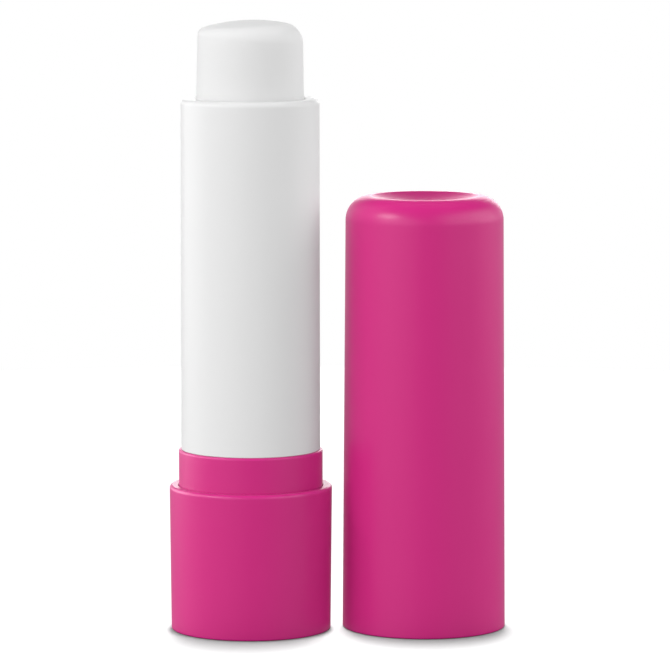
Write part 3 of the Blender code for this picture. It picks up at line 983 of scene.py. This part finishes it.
for piece, body, node, slot in PLACES:
    piece.data.materials.append(finishes[slot])
    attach(piece, body)
    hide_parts(node)
    print(piece.name, "rides on", body, "and stands for", node)

# %% [markdown]
# The floor
#
# The stick stands on a pale sheet that runs to pure white, with only a short soft shadow in front
# of each foot. With enough light to turn the sheet white, the plastic would bleach too. So the
# sheet has a lamp of its own, and three colours: nearly white for the rays that see it, grey for
# diffuse rays, so that it doesn't light the plastic from below more than the room would, and a
# darker grey in a shine, so that the satin edges above it stay pink.

# %% Floor
FLOOR_RADIUS = 0.25
FLOOR_SIDES = 128
FLOOR_GAP = 0.00001
FLOOR_SEEN = (0.92, 0.92, 0.92)
FLOOR_GIVEN = (0.35, 0.35, 0.35)
FLOOR_SHINE = (0.25, 0.25, 0.25)
FLOOR_ROUGHNESS = 1.0
FLOOR_SPECULAR = 0.0


def seen_directly(tree):
    """1 for the rays that see a thing, which are camera, glossy and transmission rays, else 0."""
    path = tree.nodes.new("ShaderNodeLightPath")
    seen = calculate(tree, "MAXIMUM", path.outputs["Is Camera Ray"], path.outputs["Is Glossy Ray"])
    return calculate(tree, "MAXIMUM", seen, path.outputs["Is Transmission Ray"])


def floor_material():
    """Matt paper with one colour for rays that see it, one for diffuse rays and one in a shine."""
    material = bpy.data.materials.new("paper_floor")
    material.use_nodes = True
    tree = material.node_tree
    shader = tree.nodes["Principled BSDF"]
    path = tree.nodes.new("ShaderNodeLightPath")
    colour = mix_colours(tree, seen_directly(tree), FLOOR_GIVEN, FLOOR_SEEN)
    colour = mix_colours(tree, path.outputs["Is Glossy Ray"], colour, FLOOR_SHINE)
    tree.links.new(colour, shader.inputs["Base Color"])
    shader.inputs["Roughness"].default_value = FLOOR_ROUGHNESS
    shader.inputs["Specular IOR Level"].default_value = FLOOR_SPECULAR
    return material


def make_floor():
    """A round sheet just under the stick. Its rim is a circle of points around the middle."""
    angles = around(FLOOR_SIDES)
    middle = ((cad_low.x + cad_high.x) / 2, 0.0)
    rim = np.stack((np.cos(angles), np.sin(angles), 0 * angles), axis=-1) * FLOOR_RADIUS
    rim += (*middle, -FLOOR_GAP)
    mesh = bpy.data.meshes.new("paper_floor")
    mesh.from_pydata(rim.tolist(), [], [list(range(FLOOR_SIDES))])
    floor = bpy.data.objects.new("paper_floor", mesh)
    bpy.context.scene.collection.objects.link(floor)
    floor.data.materials.append(floor_material())
    return floor


paper_floor = make_floor()
print("floor radius in mm:", in_mm(FLOOR_RADIUS))

# %% [markdown]
# The lamps
#
# Soft lamps stand round the object. A window, a fill, a side lamp and one that is seen in shines
# only draw the pale left side of every tube, and a small lamp draws the oval glint on the cap's
# shoulder. The side lamp spares the balm, whose edge it would bleach. A sheet and a side lamp
# lift the right. A low lamp behind lights the back and draws the line on the cap's crest. A
# narrow lamp overhead is linked to the floor alone, and the others leave the floor out, so the
# floor is white and each foot's shadow falls forwards.
#
# In the photograph the stick and the cap hardly darken each other. So four more lamps reach what
# the neighbour would shade: the cap's left edge, its dish, and both edges of the base. Each is
# linked to the pieces that it lights, and only those pieces can block it. Three of the four give
# no shine, because one would bleach the edges that face them.

# %% Lamps
LAMP_DISTANCE = 0.6
LAMPS = {
    "left_window": {"side": -72, "up": 18, "wide": 0.46, "tall": 0.46, "watts": 0.66},
    "left_glint": {"side": -62, "up": 35, "wide": 0.24, "tall": 0.10, "watts": 1.25},
    "left_fill": {"side": -36, "up": 16, "wide": 0.50, "tall": 0.40, "watts": 0.84},
    "left_side": {"side": -118, "up": 18, "wide": 0.30, "tall": 0.50, "watts": 0.32},
    "left_shine": {"side": -108, "up": 15, "wide": 0.60, "tall": 0.50, "watts": 2.30},
    "right_sheet": {"side": 62, "up": 26, "wide": 0.70, "tall": 0.50, "watts": 1.72},
    "right_side": {"side": 105, "up": 18, "wide": 0.40, "tall": 0.40, "watts": 0.80},
    "back_low": {"side": 175, "up": 10, "wide": 0.30, "tall": 0.15, "watts": 0.50},
    "floor_strip": {"side": 180, "up": 85.3, "wide": 0.075, "tall": 0.235, "watts": 22, "away": 1.5},
    "cap_edge": {"side": -138, "up": 12, "wide": 0.30, "tall": 0.40, "watts": 1.60},
    "cap_dish": {"side": 180, "up": 65, "wide": 0.40, "tall": 0.40, "watts": 0.75},
    "base_right": {"side": 142, "up": 12, "wide": 0.20, "tall": 0.40, "watts": 0.95},
    "base_left": {"side": -125, "up": 14, "wide": 0.70, "tall": 0.50, "watts": 0.85},
}
ALONE = {
    "floor_strip": [paper_floor],
    "cap_edge": [pull_off_cap],
    "cap_dish": [pull_off_cap],
    "base_right": [grip_cup, collar_sleeve],
    "base_left": [grip_cup, collar_sleeve],
}
SPARED = {"left_side": [balm_bullet]}
SHINE_ONLY = ("left_shine",)
NO_SHINE = ("cap_edge", "cap_dish", "base_right")
print("lamps to make:", len(LAMPS), "and for some pieces alone:", len(ALONE))

# %% [markdown]
# Aiming and linking a lamp
#
# A lamp shines along its own -Z axis, so that axis is turned to the middle of the object. Light
# linking then says what the lamp reaches: a collection of receivers that are included or left out,
# and a collection of blockers that may shade it. A lamp could be hidden from a piece by a screen,
# as in a studio, but the screen would be seen in the satin.

# %% Lamps aimed and linked
def aim(thing, side, up, away, target):
    """Puts a thing on a sphere round the target, with its -Z axis towards it.

    Side is the angle from the camera's side of the target, and up the angle above the floor.
    """
    across, lift = math.radians(side), math.radians(up)
    flat = math.cos(lift)
    way = Vector((math.sin(across) * flat, -math.cos(across) * flat, math.sin(lift)))
    thing.location = target + way * away
    thing.rotation_euler = (-way).to_track_quat("-Z", "Y").to_euler()


def link_light(holder, things, state):
    """Links a lamp to these things alone (INCLUDE), or to all but these (EXCLUDE)."""
    chosen = bpy.data.collections.new(holder.name + "_chosen")
    for thing in things:
        chosen.objects.link(thing)
    for entry in chosen.collection_objects:
        entry.light_linking.link_state = state
    holder.light_linking.receiver_collection = chosen
    return chosen


def make_lamp(name, plan):
    """A rectangular area lamp, aimed at the middle of the object and linked to what it lights.

    A lamp that lights some pieces alone is blocked by those alone, but every piece shades the
    floor's lamp.
    """
    lamp = bpy.data.lights.new(name, "AREA")
    lamp.shape = "RECTANGLE"
    lamp.size = plan["wide"]
    lamp.size_y = plan["tall"]
    lamp.energy = plan["watts"]
    holder = bpy.data.objects.new(name, lamp)
    bpy.context.scene.collection.objects.link(holder)
    away = plan.get("away", LAMP_DISTANCE)
    aim(holder, plan["side"], plan["up"], away, (cad_low + cad_high) / 2)
    holder.visible_diffuse = name not in SHINE_ONLY
    holder.visible_glossy = name not in NO_SHINE
    if name not in ALONE:
        link_light(holder, [paper_floor] + SPARED.get(name, []), "EXCLUDE")
        return
    chosen = link_light(holder, ALONE[name], "INCLUDE")
    if name != "floor_strip":
        holder.light_linking.blocker_collection = chosen


for name, plan in LAMPS.items():
    make_lamp(name, plan)
print("lamps made:", sorted(LAMPS))

# %% [markdown]
# The room
#
# The room is pure white to the camera, and a dim plain white as a source of light. A shine sees
# it as a photographer's room: white at the horizon, dark overhead and duller below. A grey room
# would give the satin no line on the crest, and an all white one would bleach every edge. The
# height of a ray, which is the sine of its angle upwards, fades one into the other.

# %% Room
WHITE = (1, 1, 1)
ROOM_LIGHT = 0.30
ROOM_WHITE = 1.0
HORIZON = 0.0
DARK_FROM = 0.60
GROUND_LOSS = 0.45


def make_room():
    """A world that is white to the rays that see it, and dimmer to all others.

    In a shine the strength is 1, less the share of the way up from the horizon to where it is
    dark, and less a fixed loss below the horizon.
    """
    world = bpy.data.worlds.new("white_room")
    bpy.context.scene.world = world
    world.use_nodes = True
    tree = world.node_tree
    soft = tree.nodes["Background"]
    feed(tree, soft.inputs["Color"], WHITE)
    feed(tree, soft.inputs["Strength"], ROOM_LIGHT)
    white = tree.nodes.new("ShaderNodeBackground")
    feed(tree, white.inputs["Color"], WHITE)
    parts = tree.nodes.new("ShaderNodeSeparateXYZ")
    tree.links.new(tree.nodes.new("ShaderNodeTexCoord").outputs["Generated"], parts.inputs["Vector"])
    climb = tree.nodes.new("ShaderNodeMapRange")
    feed(tree, climb.inputs["From Min"], HORIZON)
    feed(tree, climb.inputs["From Max"], DARK_FROM)
    feed(tree, climb.inputs["Value"], parts.outputs["Z"])
    below = calculate(tree, "LESS_THAN", parts.outputs["Z"], HORIZON)
    loss = calculate(tree, "MULTIPLY_ADD", below, GROUND_LOSS, climb.outputs["Result"])
    path = tree.nodes.new("ShaderNodeLightPath")
    loss = calculate(tree, "MULTIPLY", loss, path.outputs["Is Glossy Ray"])
    tree.links.new(calculate(tree, "SUBTRACT", ROOM_WHITE, loss), white.inputs["Strength"])
    mix = tree.nodes.new("ShaderNodeMixShader")
    share, unseen, seen = mix.inputs
    tree.links.new(seen_directly(tree), share)
    tree.links.new(soft.outputs["Background"], unseen)
    tree.links.new(white.outputs["Background"], seen)
    tree.links.new(mix.outputs["Shader"], tree.nodes["World Output"].inputs["Surface"])


make_room()
bpy.context.scene.view_settings.view_transform = "Standard"
print("room light", ROOM_LIGHT, "and room white", ROOM_WHITE)
